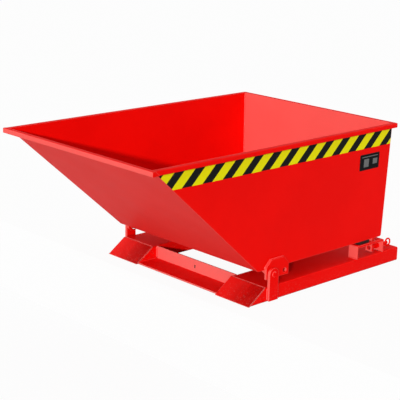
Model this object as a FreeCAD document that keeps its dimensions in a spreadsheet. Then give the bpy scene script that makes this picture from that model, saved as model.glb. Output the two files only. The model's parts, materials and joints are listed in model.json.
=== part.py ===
import FreeCAD, Part
import os
import re
import Sketcher

# Tipping skip on a fork-pocket base frame.
# Millimetres, +Z up, the pouring lip faces -Y, +X is the side with the lock bolt.
# The origin is on the ground, in the middle of the overall length and width.

SIZES = {
    # Skip body, outside faces of the sheet metal; floor_height is above the pivot pins
    "floor_height": 18,
    "floor_front": 149,
    "floor_length": 780,
    "floor_width": 868,
    "hopper_depth": 514,
    "front_run": 582.5,
    "rear_run": 8.5,
    "side_lean": 17,
    "sheet_thickness": 3,
    "bend_radius": 6,
    # Rim bars round the mouth and the pouring lip
    "rim_depth": 20,
    "rim_height": 19,
    "rim_edge_radius": 4,
    "rim_corner_radius": 14,
    "lip_projection": 13.5,
    "lip_height": 21,
    "lip_edge_radius": 3,
    # Marking tape and the bare rating plate
    "tape_width": 70,
    "tape_margin": 1.5,
    "film_thickness": 0.5,
    "plate_length": 127,
    "plate_height": 70,
    "plate_thickness": 1.5,
    "plate_corner_radius": 4,
    "plate_drop": 26,
    "plate_rear_margin": 64,
    # Fork tubes and their sloped noses
    "tube_overhang": 12,
    "tube_width": 195,
    "tube_height": 62,
    "tube_wall": 4,
    "tube_corner_radius": 6,
    "tube_tail": 114,
    "nose_top": 121,
    "nose_run": 89,
    "nose_plate_thickness": 4,
    # Cross members between the tubes
    "angle_setback": 91,
    "angle_flange": 109,
    "angle_thickness": 6,
    "angle_bend_radius": 5,
    "angle_slot_width": 6,
    "angle_slot_height": 16,
    "angle_slot_radius": 2.5,
    "bar_depth": 60,
    "bar_height": 40,
    "bar_wall": 4,
    # Rear brackets and the buffers that the skip rests on
    "bracket_tail": 9,
    "bracket_length": 180,
    "bracket_width": 50,
    "bracket_height": 60,
    "bracket_thickness": 6,
    "bracket_web": 10,
    "bracket_bend_radius": 3,
    "slot_clearance": 9,
    "slot_margin": 10,
    "buffer_length": 74,
    "buffer_width": 34,
    "buffer_setback": 10,
    "buffer_edge_radius": 6,
    "rest_gap": 0.3,
    # Pivot; pivot_height is above the fork tubes
    "pivot_setback": 78,
    "pivot_height": 54,
    "upright_width": 52,
    "upright_thickness": 12,
    "upright_foot": 4,
    "pin_diameter": 20,
    "pin_clearance": 0.05,
    "pin_projection": 5,
    "pin_tail": 21,
    "pin_chamfer": 1.5,
    "washer_diameter": 32,
    "washer_thickness": 3,
    "washer_gap": 0.3,
    "cotter_diameter": 4,
    "cotter_clearance": 0.1,
    "cotter_reach": 14,
    "cotter_eye_diameter": 11,
    "cotter_eye_thickness": 3,
    "cotter_eye_hole": 4,
    # Pivot lugs welded to the skip
    "lug_clearance": 0.5,
    "lug_front": 34,
    "lug_rear_margin": 23,
    "lug_rise": 58,
    "lug_drop": 20,
    "lug_chamfer": 29,
    "lug_hole_spacing": 74,
    "lug_hole_diameter": 20,
    "strap_width": 54,
    "strap_chamfer": 14,
    "gusset_width": 44,
    "gusset_drop": 22,
    "gusset_thickness": 6,
    # Lock bolt, its guide and the keeper on the skip
    "bolt_inset": 31,
    "bolt_rise": 24,
    "bolt_diameter": 14,
    "bolt_clearance": 0.05,
    "bolt_nose_diameter": 18,
    "bolt_nose_length": 31.5,
    "bolt_nose_chamfer": 3,
    "bolt_tail": 51,
    "shoulder_gap": 0.5,
    "lock_travel": 22,
    "bush_diameter": 24,
    "bush_length": 14,
    "keeper_thickness": 10,
    "keeper_width": 34,
    "keeper_gap": 3,
    "keeper_hole_diameter": 22,
    "keeper_foot": 8,
    "stop_pin_diameter": 5,
    "stop_pin_length": 30,
    "ring_diameter": 40,
    "ring_bar": 6,
    "ring_hole_diameter": 9.8,
    "ring_sag": 0.7,
    # Cuts run this far past the solid
    "overrun": 10,
}

# Two edges closer than this are the same edge
EDGE_MATCH = 0.001

doc = FreeCAD.newDocument("tipping_skip")
sheet = doc.addObject("Spreadsheet::Sheet", "dims")
for row, (alias, size) in enumerate(SIZES.items(), start=1):
    sheet.set(f"A{row}", alias)
    sheet.set(f"B{row}", str(size))
    sheet.setAlias(f"B{row}", alias)
doc.recompute()

SIZE_NAMES = re.compile(r"\b(" + "|".join(SIZES) + r")\b")
sub_parts = []


# Expressions

def bound(text):
    """The expression with every size name pointing at its cell."""
    return SIZE_NAMES.sub(r"dims.\1", text)


def value(text):
    """The number that an expression gives with the present sizes."""
    return float(sheet.evalExpression(bound(text)))


# Places that several pieces share

PIVOT_Y = "(-pivot_setback)"
PIVOT_Z = "(tube_height + pivot_height)"
FLOOR_Z = f"({PIVOT_Z} + floor_height)"
MOUTH_Z = f"({FLOOR_Z} + hopper_depth)"
RIM_BASE_Z = f"({MOUTH_Z} - rim_height)"
TAPE_TOP_Z = f"({RIM_BASE_Z} - tape_margin)"
TAPE_BASE_Z = f"({TAPE_TOP_Z} - tape_width)"
FLOOR_FRONT_Y = "(-floor_front)"
FLOOR_REAR_Y = "(floor_length - floor_front)"
TUBE_OUTER_X = "(floor_width / 2 + tube_overhang)"
TUBE_INNER_X = f"({TUBE_OUTER_X} - tube_width)"
LUG_TOP_Z = f"({PIVOT_Z} + lug_rise)"
LUG_OUTER_X = f"({TUBE_OUTER_X} - lug_clearance)"
PIN_OUTER_X = f"({TUBE_OUTER_X} + upright_thickness + pin_projection)"
TUBE_REAR_Y = f"({FLOOR_REAR_Y} + tube_tail)"
BRACKET_REAR_Y = f"({FLOOR_REAR_Y} + bracket_tail)"
BRACKET_FRONT_Y = f"({BRACKET_REAR_Y} - bracket_length)"
BOLT_X = f"({TUBE_OUTER_X} - bolt_inset)"
BOLT_Z = "(tube_height + bolt_rise)"
BUSH_FRONT_Y = f"({BRACKET_REAR_Y} - bracket_thickness - bush_length)"
SHOULDER_Y = f"({BUSH_FRONT_Y} - shoulder_gap)"
NOSE_TIP_Y = f"({SHOULDER_Y} - bolt_nose_length)"
KEEPER_REAR_Y = f"({NOSE_TIP_Y} - keeper_gap)"
KEEPER_FRONT_Y = f"({KEEPER_REAR_Y} - keeper_thickness)"
STOP_PIN_Y = f"({BRACKET_REAR_Y} + shoulder_gap + stop_pin_diameter / 2 + lock_travel)"
RING_RADIUS = "((ring_diameter - ring_bar) / 2)"
RING_HOLE_Y = f"({BRACKET_REAR_Y} + bolt_tail)"


def side_x(z):
    """Outer face of the right side sheet at height z."""
    return f"(floor_width / 2 + side_lean * (({z}) - {FLOOR_Z}) / hopper_depth)"


def front_y(z):
    """Outer face of the sloped front wall at height z."""
    return f"(-floor_front - front_run * (({z}) - {FLOOR_Z}) / hopper_depth)"


def rear_y(z):
    """Outer face of the rear wall at height z."""
    return f"({FLOOR_REAR_Y} + rear_run * (({z}) - {FLOOR_Z}) / hopper_depth)"


def level_thickness(thickness, run, rise):
    """Thickness, measured level, of a sheet that leans by run over rise."""
    return f"({thickness} * sqrt(({run})^2 + ({rise})^2) / ({rise}))"


LUG_INNER_X = side_x(LUG_TOP_Z)
WASHER_X = f"({LUG_INNER_X} - washer_gap)"
COTTER_X = f"({WASHER_X} - washer_thickness - washer_gap - cotter_diameter / 2)"


# Sketches and features

def new_body(label):
    """An empty body that becomes the sub-part of that name."""
    body = doc.addObject("PartDesign::Body", label)
    body.Label = label
    sub_parts.append(body)
    return body


def new_sketch(body, plane, offset):
    """A sketch on one of the body's own planes, moved along its normal."""
    sketch = body.newObject("Sketcher::SketchObject", body.Name + "_sketch")
    support = [item for item in body.Origin.OriginFeatures if item.Role == plane]
    sketch.AttachmentSupport = [(support[0], "")]
    sketch.MapMode = "FlatFace"
    sketch.setExpression("AttachmentOffset.Base.z", bound(offset))
    return sketch


def pin_point(sketch, geometry, position, place):
    """Tie a point of the sketch to two expressions."""
    for kind, text in zip(("DistanceX", "DistanceY"), place):
        constraint = Sketcher.Constraint(kind, -1, 1, geometry, position, value(text))
        number = sketch.addConstraint(constraint)
        sketch.setExpression(f"Constraints[{number}]", bound(text))


def add_outline(sketch, points):
    """A closed outline of straight lines through the given expressions."""
    first = sketch.GeometryCount
    corners = [FreeCAD.Vector(value(u), value(v), 0) for u, v in points]
    count = len(corners)
    for number in range(count):
        line = Part.LineSegment(corners[number], corners[(number + 1) % count])
        sketch.addGeometry(line)
    for number in range(count):
        following = first + (number + 1) % count
        sketch.addConstraint(Sketcher.Constraint("Coincident", first + number, 2, following, 1))
    for number, place in enumerate(points):
        pin_point(sketch, first + number, 1, place)


def add_circle(sketch, centre, diameter):
    """A circle whose centre and diameter follow expressions."""
    middle = FreeCAD.Vector(value(centre[0]), value(centre[1]), 0)
    upright = FreeCAD.Vector(0, 0, 1)
    number = sketch.addGeometry(Part.Circle(middle, upright, value(diameter) / 2))
    pin_point(sketch, number, 3, centre)
    size = sketch.addConstraint(Sketcher.Constraint("Diameter", number, value(diameter)))
    sketch.setExpression(f"Constraints[{size}]", bound(diameter))


def outline_sketch(body, plane, offset, outlines=(), circles=()):
    """A sketch made of straight outlines and circles."""
    sketch = new_sketch(body, plane, offset)
    for points in outlines:
        add_outline(sketch, points)
    for centre, diameter in circles:
        add_circle(sketch, centre, diameter)
    return sketch


def pad(body, sketch, length, symmetric=False):
    """Thicken a sketch along its normal."""
    feature = body.newObject("PartDesign::Pad", body.Name + "_pad")
    feature.Profile = sketch
    feature.setExpression("Length", bound(length))
    if symmetric:
        feature.SideType = "Symmetric"
    doc.recompute()
    return feature


def cut(body, sketch):
    """Cut a sketch right through the body, both ways."""
    before = body.Shape.Volume
    feature = body.newObject("PartDesign::Pocket", body.Name + "_cut")
    feature.Profile = sketch
    feature.SideType = "Symmetric"
    feature.Type = "ThroughAll"
    doc.recompute()
    if not body.Shape.Volume < before:
        raise RuntimeError(f"{body.Label}: a cut removed nothing")
    return feature


def edges_at(shape, spots):
    """Names of the edges whose ends keep the coordinates given in a spot."""
    names = []
    for number, edge in enumerate(shape.Edges, start=1):
        ends = [vertex.Point for vertex in edge.Vertexes]
        for spot in spots:
            offsets = [abs(end[axis] - place) for end in ends for axis, place in spot.items()]
            if len(ends) > 1 and max(offsets) < EDGE_MATCH:
                names.append(f"Edge{number}")
    return names


def dress(body, kind, size_name, size, spots):
    """Round or bevel the edges at the given spots."""
    base = body.Tip
    numbers = [{axis: value(text) for axis, text in spot.items()} for spot in spots]
    names = edges_at(base.Shape, numbers)
    if len(names) < len(spots):
        raise RuntimeError(f"{body.Label}: an edge to dress is missing")
    feature = body.newObject(kind, body.Name + "_dressed")
    feature.Base = (base, names)
    feature.setExpression(size_name, bound(size))
    doc.recompute()
    return feature


def fillet(body, radius, spots):
    """Round edges."""
    return dress(body, "PartDesign::Fillet", "Radius", radius, spots)


def chamfer(body, size, spots):
    """Bevel edges."""
    return dress(body, "PartDesign::Chamfer", "Size", size, spots)


def bevel_ends(body, size):
    """Bevel every round edge of a plain rod."""
    base = body.Tip
    names = []
    for number, edge in enumerate(base.Shape.Edges, start=1):
        if edge.Closed:
            names.append(f"Edge{number}")
    feature = body.newObject("PartDesign::Chamfer", body.Name + "_bevel")
    feature.Base = (base, names)
    feature.setExpression("Size", bound(size))
    doc.recompute()


def mirrored(source, label):
    """The left-hand twin of a right-hand piece."""
    twin = doc.addObject("Part::Mirroring", label)
    twin.Source = source
    twin.Normal = FreeCAD.Vector(1, 0, 0)
    twin.Label = label
    sub_parts.append(twin)
    return twin


def pair_group(source, label):
    """One node that holds a right-hand piece and its left-hand twin."""
    sub_parts.remove(source)
    twin = doc.addObject("Part::Mirroring", label + "_twin")
    twin.Source = source
    twin.Normal = FreeCAD.Vector(1, 0, 0)
    group = doc.addObject("Part::Compound", label)
    group.Links = [source, twin]
    group.Label = label
    sub_parts.append(group)
    return group


def rectangle(low, high):
    """Outline of a rectangle between two corners."""
    return [low, (high[0], low[1]), high, (low[0], high[1])]


# Trims that follow the leaning side walls

def beyond_side(sign, shift):
    """Outline, seen from the front, of all that lies outside the side wall's face moved in by shift."""
    low = f"({FLOOR_Z} - overrun)"
    high = f"({MOUTH_Z} + overrun)"
    far = f"({sign} * ({side_x(MOUTH_Z)} + rim_depth + overrun))"
    near_low = f"({sign} * ({side_x(low)} - {shift}))"
    near_high = f"({sign} * ({side_x(high)} - {shift}))"
    return [(near_low, low), (far, low), (far, high), (near_high, high)]


def within_side(shift):
    """Outline, seen from the front, of all that lies inside the right wall's face moved in by shift."""
    low = f"({FLOOR_Z} - overrun)"
    high = f"({MOUTH_Z} + overrun)"
    near_low = f"({side_x(low)} - {shift})"
    near_high = f"({side_x(high)} - {shift})"
    return [("0", low), (near_low, low), (near_high, high), ("0", high)]


SIDE_LEVEL = level_thickness("sheet_thickness", "side_lean", "hopper_depth")
FRONT_LEVEL = level_thickness("sheet_thickness", "front_run", "hopper_depth")
REAR_LEVEL = level_thickness("sheet_thickness", "rear_run", "hopper_depth")


def layer_on_side(label, outline, inner, outer):
    """A flat piece that lies along the right side wall between two shifts of its outer face."""
    body = new_body(label)
    start = f"(floor_width / 2 - {SIDE_LEVEL} - overrun)"
    end = f"({side_x(MOUTH_Z)} + rim_depth + overrun)"
    pad(body, outline_sketch(body, "YZ_Plane", start, [outline]), f"({end} - {start})")
    trims = [beyond_side("1", outer), within_side(inner)]
    cut(body, outline_sketch(body, "XZ_Plane", "0", trims))
    return body


# Skip body

def make_wrap_sheet():
    """One sheet folded into front wall, floor and rear wall."""
    body = new_body("wrap_sheet")
    floor_top = f"({FLOOR_Z} + sheet_thickness)"
    outline = [
        (front_y(MOUTH_Z), MOUTH_Z),
        (FLOOR_FRONT_Y, FLOOR_Z),
        (FLOOR_REAR_Y, FLOOR_Z),
        (rear_y(MOUTH_Z), MOUTH_Z),
        (f"({rear_y(MOUTH_Z)} - {REAR_LEVEL})", MOUTH_Z),
        (f"({rear_y(floor_top)} - {REAR_LEVEL})", floor_top),
        (f"({front_y(floor_top)} + {FRONT_LEVEL})", floor_top),
        (f"({front_y(MOUTH_Z)} + {FRONT_LEVEL})", MOUTH_Z),
    ]
    pad(body, outline_sketch(body, "YZ_Plane", "0", [outline]), f"(2 * {side_x(MOUTH_Z)})", True)
    outer_bends = [{1: y, 2: z} for y, z in outline[1:3]]
    inner_bends = [{1: y, 2: z} for y, z in outline[5:7]]
    fillet(body, "(bend_radius + sheet_thickness)", outer_bends)
    fillet(body, "bend_radius", inner_bends)
    trims = [beyond_side("1", SIDE_LEVEL), beyond_side("-1", SIDE_LEVEL)]
    cut(body, outline_sketch(body, "XZ_Plane", "0", trims))


def make_side_sheets():
    """Flat side walls, cut to the outline of the folded sheet and welded to its edges."""
    corners = [(FLOOR_FRONT_Y, FLOOR_Z), (FLOOR_REAR_Y, FLOOR_Z)]
    body = new_body("side_sheet_right")
    start = f"(floor_width / 2 - {SIDE_LEVEL} - overrun)"
    end = f"({side_x(MOUTH_Z)} + overrun)"
    outline = [(front_y(MOUTH_Z), MOUTH_Z)] + corners + [(rear_y(MOUTH_Z), MOUTH_Z)]
    pad(body, outline_sketch(body, "YZ_Plane", start, [outline]), f"({end} - {start})")
    fillet(body, "(bend_radius + sheet_thickness)", [{1: y, 2: z} for y, z in corners])
    trims = [beyond_side("1", "0"), within_side(SIDE_LEVEL)]
    cut(body, outline_sketch(body, "XZ_Plane", "0", trims))
    mirrored(body, "side_sheet_left")


def make_side_rims():
    """Rim bars along the two sides, rounded at the rear corners."""
    body = new_body("rim_right")
    start = f"({side_x(RIM_BASE_Z)} - overrun)"
    outer = f"({side_x(MOUTH_Z)} + rim_depth)"
    rear = f"({rear_y(MOUTH_Z)} + rim_depth)"
    outline = [
        (front_y(RIM_BASE_Z), RIM_BASE_Z),
        (rear, RIM_BASE_Z),
        (rear, MOUTH_Z),
        (front_y(MOUTH_Z), MOUTH_Z),
    ]
    pad(body, outline_sketch(body, "YZ_Plane", start, [outline]), f"({outer} - {start})")
    cut(body, outline_sketch(body, "XZ_Plane", "0", [within_side("0")]))
    fillet(body, "rim_corner_radius", [{0: outer, 1: rear}])
    fillet(body, "rim_edge_radius", [{0: outer, 2: RIM_BASE_Z}, {0: outer, 2: MOUTH_Z}])
    mirrored(body, "rim_left")


def make_rear_rim():
    """Rim bar along the rear wall, between the side rims."""
    body = new_body("rim_rear")
    outer = f"({rear_y(MOUTH_Z)} + rim_depth)"
    outline = [
        (rear_y(RIM_BASE_Z), RIM_BASE_Z),
        (outer, RIM_BASE_Z),
        (outer, MOUTH_Z),
        (rear_y(MOUTH_Z), MOUTH_Z),
    ]
    pad(body, outline_sketch(body, "YZ_Plane", "0", [outline]), f"(2 * {side_x(MOUTH_Z)})", True)
    trims = [beyond_side("1", "0"), beyond_side("-1", "0")]
    cut(body, outline_sketch(body, "XZ_Plane", "0", trims))
    fillet(body, "rim_edge_radius", [{1: outer, 2: RIM_BASE_Z}, {1: outer, 2: MOUTH_Z}])


def make_front_lip():
    """Pouring lip across the whole front, over the ends of the side rims."""
    body = new_body("front_lip")
    face = f"({front_y(MOUTH_Z)} - lip_projection)"
    lip_base = f"({MOUTH_Z} - lip_height)"
    outline = [
        (face, lip_base),
        (front_y(RIM_BASE_Z), RIM_BASE_Z),
        (front_y(MOUTH_Z), MOUTH_Z),
        (face, MOUTH_Z),
    ]
    width = f"(2 * ({side_x(MOUTH_Z)} + rim_depth))"
    pad(body, outline_sketch(body, "YZ_Plane", "0", [outline]), width, True)
    fillet(body, "lip_edge_radius", [{1: face, 2: lip_base}, {1: face, 2: MOUTH_Z}])


def make_marking():
    """Marking tape below the rim on both sides, and the bare plate on the right."""
    outline = [
        (f"({front_y(TAPE_BASE_Z)} + tape_margin)", TAPE_BASE_Z),
        (f"({rear_y(TAPE_BASE_Z)} - tape_margin)", TAPE_BASE_Z),
        (f"({rear_y(TAPE_TOP_Z)} - tape_margin)", TAPE_TOP_Z),
        (f"({front_y(TAPE_TOP_Z)} + tape_margin)", TAPE_TOP_Z),
    ]
    tape = layer_on_side("hazard_tape_right", outline, "0", "(-film_thickness)")
    mirrored(tape, "hazard_tape_left")
    plate_top = f"({TAPE_BASE_Z} - plate_drop)"
    plate_base = f"({plate_top} - plate_height)"
    plate_rear = f"({FLOOR_REAR_Y} - plate_rear_margin)"
    plate_front = f"({plate_rear} - plate_length)"
    low = (plate_front, plate_base)
    high = (plate_rear, plate_top)
    corners = rectangle(low, high)
    plate = new_body("rating_plate")
    start = f"({side_x(plate_base)} - overrun)"
    length = f"({side_x(plate_top)} + plate_thickness + overrun - {start})"
    pad(plate, outline_sketch(plate, "YZ_Plane", start, [corners]), length)
    fillet(plate, "plate_corner_radius", [{1: y, 2: z} for y, z in corners])
    trims = [beyond_side("1", "(-plate_thickness)"), within_side("0")]
    cut(plate, outline_sketch(plate, "XZ_Plane", "0", trims))


def make_pivot_lugs():
    """Plates welded to the side walls that turn on the pivot pins."""
    bore = "(pin_diameter + 2 * pin_clearance)"
    thickness = f"({LUG_OUTER_X} - {LUG_INNER_X})"
    front = f"({PIVOT_Y} - lug_front)"
    rear = f"({PIVOT_Y} + lug_hole_spacing + lug_rear_margin)"
    base = f"({PIVOT_Z} - lug_drop)"
    outline = [
        (front, base),
        (rear, base),
        (rear, f"({LUG_TOP_Z} - lug_chamfer)"),
        (f"({rear} - lug_chamfer)", LUG_TOP_Z),
        (f"({front} + lug_chamfer)", LUG_TOP_Z),
        (front, f"({LUG_TOP_Z} - lug_chamfer)"),
    ]
    holes = [
        ((PIVOT_Y, PIVOT_Z), bore),
        ((f"({PIVOT_Y} + lug_hole_spacing)", PIVOT_Z), "lug_hole_diameter"),
    ]
    right = new_body("pivot_lug_right")
    pad(right, outline_sketch(right, "YZ_Plane", LUG_INNER_X, [outline], holes), thickness)

    strap_front = f"({PIVOT_Y} - strap_width / 2)"
    strap_rear = f"({PIVOT_Y} + strap_width / 2)"
    corners = rectangle((strap_front, PIVOT_Z), (strap_rear, LUG_TOP_Z))
    left = new_body("pivot_lug_left")
    start = f"(-{LUG_OUTER_X})"
    pad(left, outline_sketch(left, "YZ_Plane", start, [corners]), thickness)
    round_end = [((PIVOT_Y, PIVOT_Z), "strap_width")]
    pad(left, outline_sketch(left, "YZ_Plane", start, circles=round_end), thickness)
    top_corners = [{1: strap_front, 2: LUG_TOP_Z}, {1: strap_rear, 2: LUG_TOP_Z}]
    chamfer(left, "strap_chamfer", top_corners)
    cut(left, outline_sketch(left, "YZ_Plane", "0", circles=holes[:1]))


def make_lug_gussets():
    """Corner plates between the floor and the front edges of the lugs."""
    body = new_body("lug_gusset_right")
    outline = [
        (LUG_INNER_X, FLOOR_Z),
        (f"({LUG_INNER_X} - gusset_width)", FLOOR_Z),
        (LUG_INNER_X, f"({FLOOR_Z} - gusset_drop)"),
    ]
    front = f"({PIVOT_Y} - strap_width / 2)"
    sketch = outline_sketch(body, "XZ_Plane", f"(-({front} + gusset_thickness))", [outline])
    pad(body, sketch, "gusset_thickness")
    mirrored(body, "lug_gusset_left")


def make_lock_keeper():
    """Plate hanging from the floor, with the hole that the lock bolt enters."""
    body = new_body("lock_keeper")
    base = "(tube_height + keeper_foot)"
    low = (f"({BOLT_X} - keeper_width / 2)", base)
    high = (f"({BOLT_X} + keeper_width / 2)", FLOOR_Z)
    hole = [((BOLT_X, BOLT_Z), "keeper_hole_diameter")]
    sketch = outline_sketch(body, "XZ_Plane", f"(-{KEEPER_REAR_Y})", [rectangle(low, high)], hole)
    pad(body, sketch, "keeper_thickness")


# Base frame

NOSE_LEVEL = level_thickness("nose_plate_thickness", "nose_run", "tube_height")


def nose_y(z):
    """Outer face of the sloped nose at height z."""
    return f"(-nose_top - nose_run + nose_run * ({z}) / tube_height)"


def make_fork_tubes():
    """Rectangular tubes that take the forks from the rear, cut to a slope at the front."""
    body = new_body("fork_tube_right")
    outer = rectangle((TUBE_INNER_X, "0"), (TUBE_OUTER_X, "tube_height"))
    low = (f"({TUBE_INNER_X} + tube_wall)", "tube_wall")
    high = (f"({TUBE_OUTER_X} - tube_wall)", "(tube_height - tube_wall)")
    inner = rectangle(low, high)
    section = outline_sketch(body, "XZ_Plane", f"(-{TUBE_REAR_Y})", [outer, inner])
    pad(body, section, f"({TUBE_REAR_Y} + nose_top + nose_run)")
    fillet(body, "tube_corner_radius", [{0: x, 2: z} for x, z in outer])
    fillet(body, "(tube_corner_radius - tube_wall)", [{0: x, 2: z} for x, z in inner])
    below = "(-overrun)"
    above = "(tube_height + overrun)"
    far = f"({nose_y(below)} - overrun)"
    slope = [
        (f"({nose_y(below)} + {NOSE_LEVEL})", below),
        (f"({nose_y(above)} + {NOSE_LEVEL})", above),
        (far, above),
        (far, below),
    ]
    cut(body, outline_sketch(body, "YZ_Plane", "0", [slope]))
    mirrored(body, "fork_tube_left")


def make_nose_plates():
    """Sloped plates that close the fronts of the tubes."""
    body = new_body("nose_plate_right")
    outline = [
        (nose_y("0"), "0"),
        (f"({nose_y('0')} + {NOSE_LEVEL})", "0"),
        (f"({nose_y('tube_height')} + {NOSE_LEVEL})", "tube_height"),
        (nose_y("tube_height"), "tube_height"),
    ]
    pad(body, outline_sketch(body, "YZ_Plane", TUBE_INNER_X, [outline]), "tube_width")
    mirrored(body, "nose_plate_left")


def make_cross_members():
    """Front angle and rear bar that join the two tubes."""
    span = f"(2 * {TUBE_INNER_X})"
    angle = new_body("front_cross_angle")
    leg_front = "(-angle_setback)"
    leg_rear = "(angle_thickness - angle_setback)"
    flange_front = "(-angle_setback - angle_flange)"
    outline = [
        (flange_front, "0"),
        (leg_rear, "0"),
        (leg_rear, "tube_height"),
        (leg_front, "tube_height"),
        (leg_front, "angle_thickness"),
        (flange_front, "angle_thickness"),
    ]
    pad(angle, outline_sketch(angle, "YZ_Plane", "0", [outline]), span, True)
    fillet(angle, "angle_bend_radius", [{1: leg_front, 2: "angle_thickness"}])
    low = ("(-angle_slot_width / 2)", "((tube_height - angle_slot_height) / 2)")
    high = ("(angle_slot_width / 2)", "((tube_height + angle_slot_height) / 2)")
    slot = rectangle(low, high)
    cut(angle, outline_sketch(angle, "XZ_Plane", "0", [slot]))
    fillet(angle, "angle_slot_radius", [{0: x, 2: z} for x, z in slot])

    bar = new_body("rear_cross_bar")
    middle = f"({BRACKET_FRONT_Y} + bracket_length / 2)"
    front = f"({middle} - bar_depth / 2)"
    rear = f"({middle} + bar_depth / 2)"
    base = "((tube_height - bar_height) / 2)"
    top = "((tube_height + bar_height) / 2)"
    outer = rectangle((front, base), (rear, top))
    low = (f"({front} + bar_wall)", f"({base} + bar_wall)")
    high = (f"({rear} - bar_wall)", f"({top} - bar_wall)")
    inner = rectangle(low, high)
    pad(bar, outline_sketch(bar, "YZ_Plane", "0", [outer, inner]), span, True)


def make_rear_brackets():
    """Bridges over the tubes; the right one guides the lock bolt and lets the keeper through."""
    base = "tube_height"
    top = "(tube_height + bracket_height)"
    web = f"({top} - bracket_web)"
    front_inner = f"({BRACKET_FRONT_Y} + bracket_thickness)"
    rear_inner = f"({BRACKET_REAR_Y} - bracket_thickness)"
    outline = [
        (BRACKET_FRONT_Y, base),
        (BRACKET_FRONT_Y, top),
        (BRACKET_REAR_Y, top),
        (BRACKET_REAR_Y, base),
        (rear_inner, base),
        (rear_inner, web),
        (front_inner, web),
        (front_inner, base),
    ]
    inner_bends = [{1: front_inner, 2: web}, {1: rear_inner, 2: web}]
    outer_bends = [{1: BRACKET_FRONT_Y, 2: top}, {1: BRACKET_REAR_Y, 2: top}]
    starts = {
        "rear_bracket_right": f"({TUBE_OUTER_X} - bracket_width)",
        "rear_bracket_left": f"(-{TUBE_OUTER_X})",
    }
    for label, start in starts.items():
        body = new_body(label)
        pad(body, outline_sketch(body, "YZ_Plane", start, [outline]), "bracket_width")
        fillet(body, "bracket_bend_radius", inner_bends)
        fillet(body, "(bracket_bend_radius + bracket_thickness)", outer_bends)
        if label == "rear_bracket_right":
            low = (f"({start} - overrun)", f"({KEEPER_FRONT_Y} - slot_clearance)")
            high = (f"({TUBE_OUTER_X} - slot_margin)", f"({KEEPER_REAR_Y} + slot_clearance)")
            cut(body, outline_sketch(body, "XY_Plane", "0", [rectangle(low, high)]))
            bore = [((BOLT_X, BOLT_Z), "(bolt_diameter + 2 * bolt_clearance)")]
            sketch = outline_sketch(body, "XZ_Plane", f"(-{BRACKET_REAR_Y})", circles=bore)
            hole = body.newObject("PartDesign::Pocket", "bolt_hole")
            hole.Profile = sketch
            hole.Reversed = True
            hole.setExpression("Length", bound("bracket_thickness"))
            doc.recompute()


def make_buffers():
    """Rubber pads on the brackets that carry the floor of the skip."""
    body = new_body("rest_buffer_right")
    front = f"({BRACKET_FRONT_Y} + bracket_thickness + buffer_setback)"
    rear = f"({front} + buffer_length)"
    middle = f"({TUBE_OUTER_X} - bracket_width / 2)"
    inner = f"({middle} - buffer_width / 2)"
    outer = f"({middle} + buffer_width / 2)"
    corners = rectangle((inner, front), (outer, rear))
    base = "(tube_height + bracket_height)"
    pad(body, outline_sketch(body, "XY_Plane", base, [corners]), f"({FLOOR_Z} - rest_gap - {base})")
    fillet(body, "buffer_edge_radius", [{0: x, 1: y} for x, y in corners])
    mirrored(body, "rest_buffer_left")


def make_uprights():
    """Flat bars welded to the outsides of the tubes, rounded about the pivot."""
    body = new_body("pivot_upright_right")
    low = (f"({PIVOT_Y} - upright_width / 2)", "upright_foot")
    high = (f"({PIVOT_Y} + upright_width / 2)", PIVOT_Z)
    pad(body, outline_sketch(body, "YZ_Plane", TUBE_OUTER_X, [rectangle(low, high)]), "upright_thickness")
    round_end = [((PIVOT_Y, PIVOT_Z), "upright_width")]
    pad(body, outline_sketch(body, "YZ_Plane", TUBE_OUTER_X, circles=round_end), "upright_thickness")
    bore = [((PIVOT_Y, PIVOT_Z), "(pin_diameter + 2 * pin_clearance)")]
    cut(body, outline_sketch(body, "YZ_Plane", "0", circles=bore))
    mirrored(body, "pivot_upright_left")


def make_pivot_pins():
    """Pivot pins with a washer and a split pin at their inner ends."""
    pin = new_body("pivot_pin_right")
    start = f"({LUG_INNER_X} - pin_tail)"
    length = f"({PIN_OUTER_X} - {start})"
    pad(pin, outline_sketch(pin, "YZ_Plane", start, circles=[((PIVOT_Y, PIVOT_Z), "pin_diameter")]), length)
    bevel_ends(pin, "pin_chamfer")
    cross_hole = [((COTTER_X, PIVOT_Y), "(cotter_diameter + 2 * cotter_clearance)")]
    cut(pin, outline_sketch(pin, "XY_Plane", PIVOT_Z, circles=cross_hole))
    mirrored(pin, "pivot_pin_left")

    washer = new_body("pivot_washer")
    ring = [
        ((PIVOT_Y, PIVOT_Z), "washer_diameter"),
        ((PIVOT_Y, PIVOT_Z), "(pin_diameter + 2 * pin_clearance)"),
    ]
    face = f"({WASHER_X} - washer_thickness)"
    pad(washer, outline_sketch(washer, "YZ_Plane", face, circles=ring), "washer_thickness")
    pair_group(washer, "pivot_washers")

    cotter = new_body("cotter_pin")
    shank = [((COTTER_X, PIVOT_Y), "cotter_diameter")]
    foot = f"({PIVOT_Z} - cotter_reach)"
    pad(cotter, outline_sketch(cotter, "XY_Plane", foot, circles=shank), "(2 * cotter_reach)")
    eye_middle = (PIVOT_Y, f"({foot} - cotter_eye_diameter / 4)")
    eye = outline_sketch(cotter, "YZ_Plane", COTTER_X, circles=[(eye_middle, "cotter_eye_diameter")])
    pad(cotter, eye, "cotter_eye_thickness", True)
    cut(cotter, outline_sketch(cotter, "YZ_Plane", COTTER_X, circles=[(eye_middle, "cotter_eye_hole")]))
    pair_group(cotter, "cotter_pins")


# Lock bolt

def make_guide_bush():
    """Bush welded to the inside of the right bracket's rear leg."""
    body = new_body("bolt_guide_bush")
    ring = [
        ((BOLT_X, BOLT_Z), "bush_diameter"),
        ((BOLT_X, BOLT_Z), "(bolt_diameter + 2 * bolt_clearance)"),
    ]
    rear = f"({BUSH_FRONT_Y} + bush_length)"
    pad(body, outline_sketch(body, "XZ_Plane", f"(-{rear})", circles=ring), "bush_length")


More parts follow.
